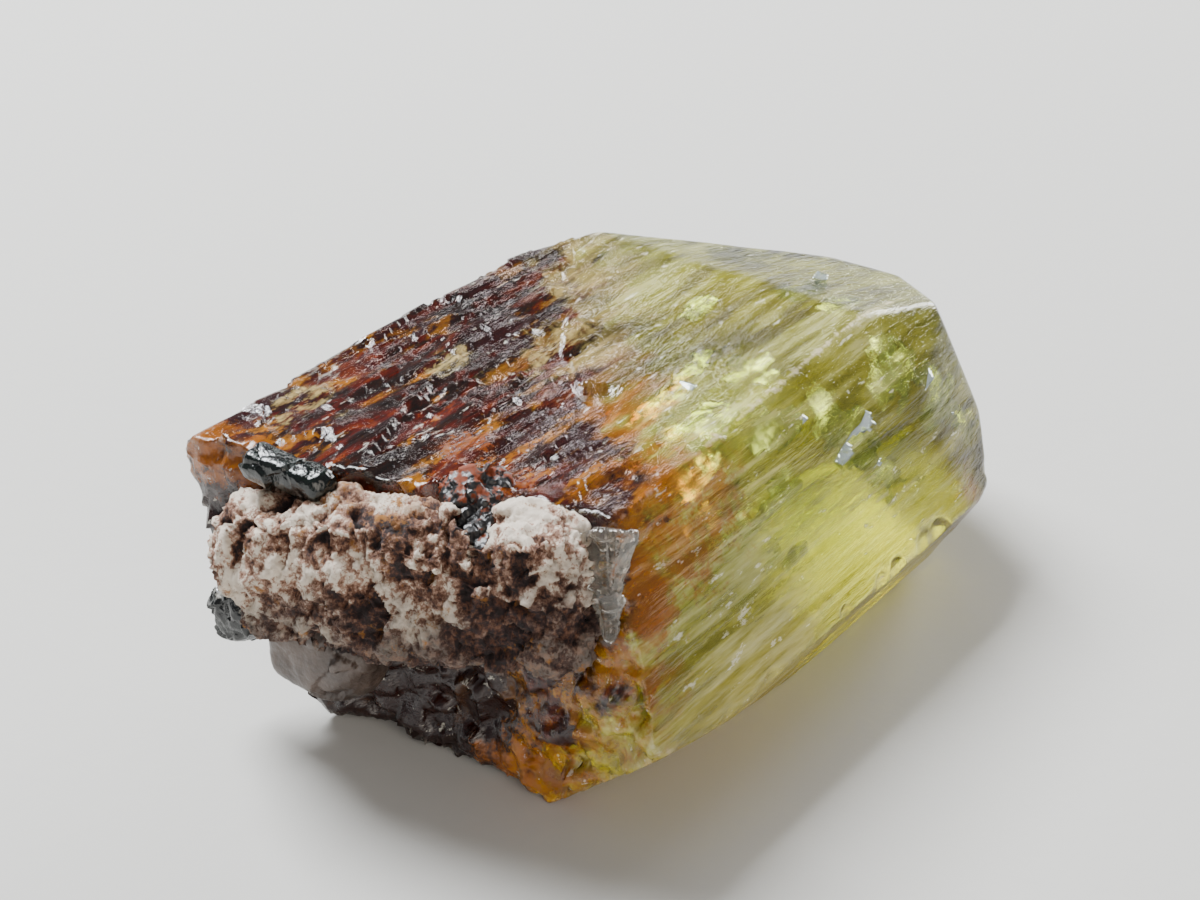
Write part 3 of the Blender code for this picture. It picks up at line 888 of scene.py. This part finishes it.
    def settle(self, points: Array, edges: Array) -> tuple[Array, Array]:
        """Moves the net's points onto the crystal's true surface.

        Args:
            points: the net's points, near that surface.
            edges: the net's edges.

        Returns:
            The new points, and for each how near it lies to a worn edge, from 0 to 1.
        """
        normals, offsets = self.planes()
        middles, radii = self.chips()
        grain = Grain(7)
        wear = np.zeros(len(points))
        for turn in range(self.turns):
            values = points @ normals.T - offsets
            rough = 1.0 + 0.5 * self.stain(points)
            for face in Face:
                near = values[:, face] > -NEAR
                values[near, face] += rough[near] * self.striations(points[near], face, grain)
            away = points[:, None, :] - middles[None, :, :]
            reach = np.linalg.norm(away, axis=2)
            step = 0.05
            slope = np.tile((-1.0, 0.0, 0.0), (len(points), 1))
            broken = np.full(len(points), -FAR)
            near = points[:, 0] < self.break_reach
            y, z = points[near, 1], points[near, 2]
            here = self.break_at(y, z, grain)
            slope[near, 1] = (self.break_at(y + step, z, grain) - here) / step
            slope[near, 2] = (self.break_at(y, z + step, grain) - here) / step
            steep = np.linalg.norm(slope, axis=1)
            broken[near] = (here - points[near, 0]) / steep[near]
            every = np.concatenate([values, radii - reach, broken[:, None]], axis=1)
            blur = self.edge_wear * (1.0 + 0.7 * grain.smooth(points / 2.7))[:, None]
            most = every.max(axis=1, keepdims=True)
            share = np.exp(np.maximum((every - most) / blur, -40.0))
            total = share.sum(axis=1, keepdims=True)
            share /= total
            distance = (most + blur * np.log(total))[:, 0]
            count = len(normals)
            push = share[:, :count] @ normals
            push -= np.einsum("nc,ncx->nx", share[:, count:-1] / reach, away)
            push += share[:, -1:] * slope / steep[:, None]
            length = np.maximum(0.35, (push**2).sum(axis=1))
            move = np.clip(distance / length, -self.stride, self.stride)
            points = points - move[:, None] * push
            bitten = share[:, count:-1].sum(axis=1)
            wear = (1.0 - (push**2).sum(axis=1)) / 0.25 * np.maximum(0.0, 1.0 - 3.0 * bitten)
            if turn < self.smooth_turns:
                points = relaxed(points, edges, self.stride)
        return points, np.clip(wear, 0.0, 1.0)

    def build(self) -> Object:
        """Builds the crystal from a copy of its solid.

        Returns:
            The finished piece.
        """
        piece = copy_of_node(CRYSTAL_NODE, "crystal")
        remesh(piece, self.voxel)
        points, wear = self.settle(points_of(piece), edges_of(piece))
        points[:, 2] = np.maximum(points[:, 2], 0.0)
        move_points(piece, points)
        keep_value(piece, "wear", wear)
        piece.data.shade_smooth()
        return piece

    def dress(self, piece: Object) -> None:
        """Gives the crystal its finish and its place in the frame."""
        piece.data.materials.append(StainedApatite().build())
        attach(piece, ROOT_BODY)
        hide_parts(CRYSTAL_NODE)


@dataclass
class RoughPiece:
    """A lump of rock or mineral on the break, roughened from its solid."""

    node: str
    name: str
    slot: str
    finish: Any
    voxel: float
    grow: float  # how far it grows to close the gap that its solid keeps, in millimetres
    relief: float  # height of its larger relief
    lump: float  # size of that relief
    grains: tuple[tuple[float, float], ...] = ()  # size and height of its broken grains, from coarse to fine
    proud: float = 0.36  # how far its larger relief can stand out
    seed: int = 1

    def build(self) -> Object:
        """Builds the piece from a copy of its solid.

        Returns:
            The finished piece, with the height of its relief stored at each point.
        """
        piece = copy_of_node(self.node, self.name)
        remesh(piece, self.voxel)
        grain = Grain(self.seed)
        points, edges = points_of(piece), edges_of(piece)
        for _ in range(3):
            points = relaxed(points, edges, 0.5)
        move_points(piece, points)
        normals = normals_of(piece)
        height = self.relief * grain.fractal(points / self.lump, 5, 0.55)
        for size, rise in self.grains:
            number, facet = grain.grains(points / size + 5.0 * size)
            height = np.where(height > 0.0, self.proud * np.tanh(height / self.proud), height)
            height += rise * (0.5 * number + 1.9 * facet)
        points = points + normals * (self.grow + height)[:, None]
        points[:, 2] = np.maximum(points[:, 2], 0.0)
        move_points(piece, points)
        spread = max(float(height.std()), 1e-6)
        keep_value(piece, "height", np.clip(0.5 + 0.25 * (height - height.mean()) / spread, 0.0, 1.0))
        piece.data.shade_smooth()
        return piece

    def dress(self, piece: Object) -> None:
        """Gives the piece its finish and its place in the frame."""
        piece.data.materials.append(self.finish.build())
        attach(piece, ROOT_BODY)
        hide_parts(self.node)


@dataclass
class Fractures:
    """Thin reflecting fractures inside the clear half, as one mesh of curved flakes."""

    glints: tuple[tuple[float, ...], ...] = (  # the middle of each large flake, and half its length and width
        *((19.5, -18.7, 10.5, 1.7, 1.8), (20.1, -19.3, 9.0, 1.5, 1.8), (21.6, -20.3, 7.2, 1.3, 1.4)),
        *((25.0, -18.6, 10.0, 2.2, 1.6), (26.7, -19.6, 8.2, 1.7, 1.3), (28.0, -19.2, 8.3, 1.4, 1.4)),
        *((28.7, -20.0, 6.6, 1.1, 1.2), (25.4, -17.7, 11.3, 1.6, 0.8), (15.7, -17.9, 11.5, 1.8, 1.0)),
        *((10.2, -18.6, 10.4, 1.9, 0.8), (11.2, -19.2, 9.4, 1.6, 0.9), (10.0, -17.6, 11.8, 2.0, 0.8)),
        *((16.7, -13.3, 12.3, 2.4, 0.8), (18.4, -15.7, 12.1, 1.6, 0.9), (13.3, -14.1, 12.4, 2.0, 0.7)),
        *((13.1, -16.4, 12.2, 2.4, 1.0), (26.4, -15.0, 12.0, 1.2, 0.7), (27.4, -12.6, 11.7, 1.9, 0.9)),
        (22.2, -10.1, 12.3, 1.6, 0.6),
    )
    front_level: tuple[float, float] = (13.0, -13.2)  # turns about X and Y that throw light out of the front
    top_level: tuple[float, float] = (-1.9, -11.0)  # the same for the top face
    scattered: int = 12
    sheet: float = 0.03  # thickness of a flake

    def rows(self) -> list[tuple[Triple, Triple, tuple[float, float]]]:
        """Lists the place, turn and half size of each flake: the large glints, then small ones strewn about."""
        dice = np.random.RandomState(41)
        sites = [(row[:3], row[3:]) for row in self.glints]
        for _ in range(self.scattered):
            x, depth = dice.uniform(8.5, 27.0), dice.uniform(0.4, 2.4)
            if dice.uniform() < 0.55:
                down = dice.uniform(1.5, 8.5)
                place = (x, -17.9 - 0.5 * down + 0.866 * depth, 13.0 - 0.866 * down - 0.5 * depth)
            else:
                place = (x, dice.uniform(-17.0, -12.5) + 0.6 * max(0.0, x - 16.0), 12.9 - depth)
            length = dice.uniform(0.4, 1.1)
            sites.append((place, (length, length * dice.uniform(0.35, 0.8))))
        rows = []
        for number, (place, half) in enumerate(sites):
            level = self.front_level if place[2] < 12.0 else self.top_level
            sway = 3.0 if number < len(self.glints) else 10.0
            turn = tuple(level[axis] + dice.uniform(-sway, sway) for axis in (0, 1))
            rows.append((place, (*turn, dice.uniform(-6.0, 6.0)), half))
        return rows

    def flake(self, number: int, place: Triple, turn: Triple, half: tuple[float, float]) -> Object:
        """Models one curved flake with a ragged rim.

        Args:
            number: its place in the list, which seeds its shape.
            place: its middle.
            turn: its turn about X, Y and Z, in degrees.
            half: half its length and width.

        Returns:
            The flake, with its place in its mesh.
        """
        middle = Vector(to_part(np.array(place)))
        deselect_all()
        turned = [math.radians(angle) for angle in turn]
        bpy.ops.mesh.primitive_grid_add(
            x_subdivisions=36, y_subdivisions=24, size=2.0, location=middle, rotation=turned
        )
        piece = bpy.context.active_object
        piece.scale = (half[0] * MM, half[1] * MM, MM)
        bpy.ops.object.transform_apply(location=False, rotation=False, scale=True)
        grain = Grain(100 + number)
        mesh = piece.data
        local = np.array([vert.co for vert in mesh.vertices]) / MM
        rim = np.hypot(local[:, 0] / half[0], local[:, 1] / half[1])
        rim += 0.7 * grain.fractal(local / np.array((1.3, 0.5, 1.0)), 3, 0.5)
        bend = 0.05 * grain.fractal(local / 1.2 + 9.0, 3) + 0.015 * local[:, 0] ** 2
        for vert, lift in zip(mesh.vertices, bend):
            vert.co.z += lift * MM
        bpy.ops.object.mode_set(mode="EDIT")
        bpy.ops.mesh.select_all(action="DESELECT")
        bpy.ops.object.mode_set(mode="OBJECT")
        for vert, reach in zip(mesh.vertices, rim):
            vert.select = reach > 0.95
        bpy.ops.object.mode_set(mode="EDIT")
        bpy.ops.mesh.delete(type="VERT")
        bpy.ops.object.mode_set(mode="OBJECT")
        wall = piece.modifiers.new("film", "SOLIDIFY")
        wall.thickness = self.sheet * MM
        bpy.ops.object.modifier_apply(modifier=wall.name)
        bpy.ops.object.transform_apply(location=True, rotation=True, scale=True)
        return piece

    def build(self) -> Object:
        """Models all flakes and joins them.

        Returns:
            The finished piece.
        """
        flakes = [self.flake(number, *row) for number, row in enumerate(self.rows())]
        deselect_all()
        for flake in flakes:
            flake.select_set(True)
        bpy.context.view_layer.objects.active = flakes[0]
        bpy.ops.object.join()
        piece = bpy.context.active_object
        piece.name = "inner_fractures"
        piece.data.shade_smooth()
        return piece

    def dress(self, piece: Object) -> None:
        """Gives the fractures their finish and their place in the frame."""
        piece.data.materials.append(FractureGlint().build())
        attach(piece, ROOT_BODY)


@dataclass
class Studio:
    """A pale floor, soft lights and the camera at the photograph's angle."""

    floor_side: float = 1.6
    lens: float = 60.0
    sensor: float = 36.0
    camera_place: Triple = (-47.22, -55.35, 53.26)
    heading: float = 36.26  # of the view, from X towards Y, in degrees
    pitch: float = 30.29  # of the view below level
    world_colour: str = "#dfe3e8"
    world_strength: float = 0.32
    lights: tuple[tuple[str, Triple, float, float, str], ...] = (
        ("window", (0.08, 0.36, 0.46), 0.26, 10.0, "#f7fbff"),
        ("strip", (0.40, 0.30, 0.26), 0.05, 0.15, "#ffffff"),
        ("bounce", (-0.30, -0.45, 0.30), 0.40, 1.5, "#fff6ea"),
        ("rim", (0.52, 0.02, 0.16), 0.18, 2.2, "#ffffff"),
    )

    def add_floor(self) -> None:
        """Lays the floor."""
        deselect_all()
        bpy.ops.mesh.primitive_plane_add(size=self.floor_side, location=(0.0, 0.0, 0.0))
        floor = bpy.context.active_object
        floor.name = "floor"
        floor.data.materials.append(PaleFloor().build())

    def add_camera(self) -> None:
        """Sets up the camera."""
        data = bpy.data.cameras.new("camera")
        data.lens, data.sensor_width, data.sensor_fit = self.lens, self.sensor, "HORIZONTAL"
        data.clip_start, data.clip_end = 0.005, 10.0
        camera = bpy.data.objects.new("camera", data)
        bpy.context.scene.collection.objects.link(camera)
        camera.location = to_part(np.array(self.camera_place))
        heading, pitch = math.radians(self.heading), math.radians(self.pitch)
        level = math.cos(pitch)
        look = Vector((math.cos(heading) * level, math.sin(heading) * level, -math.sin(pitch)))
        camera.rotation_euler = look.to_track_quat("-Z", "Y").to_euler()
        bpy.context.scene.camera = camera

    def add_light(self, name: str, place: Triple, side: float, watts: float, tint: str) -> None:
        """Hangs one soft light that faces the specimen.

        Args:
            name: the light's name.
            place: where it hangs, in metres.
            side: its width and height, in metres.
            watts: its power.
            tint: its colour.
        """
        data = bpy.data.lights.new(name, "AREA")
        data.shape, data.size, data.size_y = "RECTANGLE", side, side
        data.energy = watts
        data.color = linear(tint)[:3]
        light = bpy.data.objects.new(name, data)
        bpy.context.scene.collection.objects.link(light)
        light.location = place
        light.rotation_euler = (-Vector(place)).to_track_quat("-Z", "Y").to_euler()

    def add_world(self) -> None:
        """Fills the room with an even, pale light."""
        world = bpy.data.worlds.new("studio")
        bpy.context.scene.world = world
        world.use_nodes = True
        back = world.node_tree.nodes["Background"]
        back.inputs["Color"].default_value = linear(self.world_colour)
        back.inputs["Strength"].default_value = self.world_strength

    def build(self) -> None:
        """Builds the floor, the lights and the camera."""
        self.add_floor()
        self.add_world()
        self.add_camera()
        for light in self.lights:
            self.add_light(*light)


def rough_pieces() -> list[RoughPiece]:
    """Lists the host rock and the grains that sit on the break."""
    grey = DarkMineral("grey_brown_feldspar", "#3b302a", "#5c4d44", "#75675f", 8.2, 0.35, 1.6)
    black = DarkMineral("coated_black_mineral", "#060606", "#131514", "#a39f96", 6.4, 0.16, 0.9)
    green = DarkMineral("green_black_mineral", "#040706", "#0c1410", "#1d2822", 14.0, 0.14, 0.6)
    ore = DarkMineral("iron_ore", "#070505", "#191413", "#7a3000", 13.2, 0.36, 0.5)
    sugar = ((2.2, 0.28), (1.0, 0.18), (0.45, 0.1), (0.22, 0.05))
    flint = ((1.5, 0.2), (0.6, 0.06))
    rows = (  # node, name, slot, finish, then voxel, grow, relief and lump, grains and seed
        ("matrix_crust", "host_rock", "pale_host_rock", HostRock(), (0.1, 0.15, 0.26, 2.0), sugar, 3),
        ("grey_lump", "smooth_lump", "grey_brown_mineral", grey, (0.1, 0.2, 0.14, 2.6), ((1.9, 0.14),), 4),
        ("dark_grain", "coated_grain", "coated_black_mineral", black, (0.07, 0.2, 0.1, 1.3), flint, 5),
        ("dark_sliver", "sliver", "green_black_mineral", green, (0.07, 0.15, 0.06, 1.4), ((1.6, 0.12),), 6),
        ("ore_wedge", "wedge", "iron_ore", ore, (0.06, 0.12, 0.05, 0.9), ((1.1, 0.2), (0.5, 0.08)), 8),
        ("clear_chip", "splinter", "clear_splinter", ClearSplinter(), (0.08, 0.12, 0.08, 1.2), ((1.1, 0.14),), 9),
    )
    return [RoughPiece(*row, *sizes, grains=grains, seed=seed) for *row, sizes, grains, seed in rows]


def main() -> None:
    """Builds every piece in order."""
    logging.basicConfig(level=logging.INFO, format="%(name)s: %(message)s")
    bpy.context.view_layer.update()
    Studio().build()
    for maker in (Crystal(), *rough_pieces(), Fractures()):
        piece = maker.build()
        maker.dress(piece)
        LOG.info("%s: %d faces", piece.name, len(piece.data.polygons))


if __name__ == "__main__":
    main()
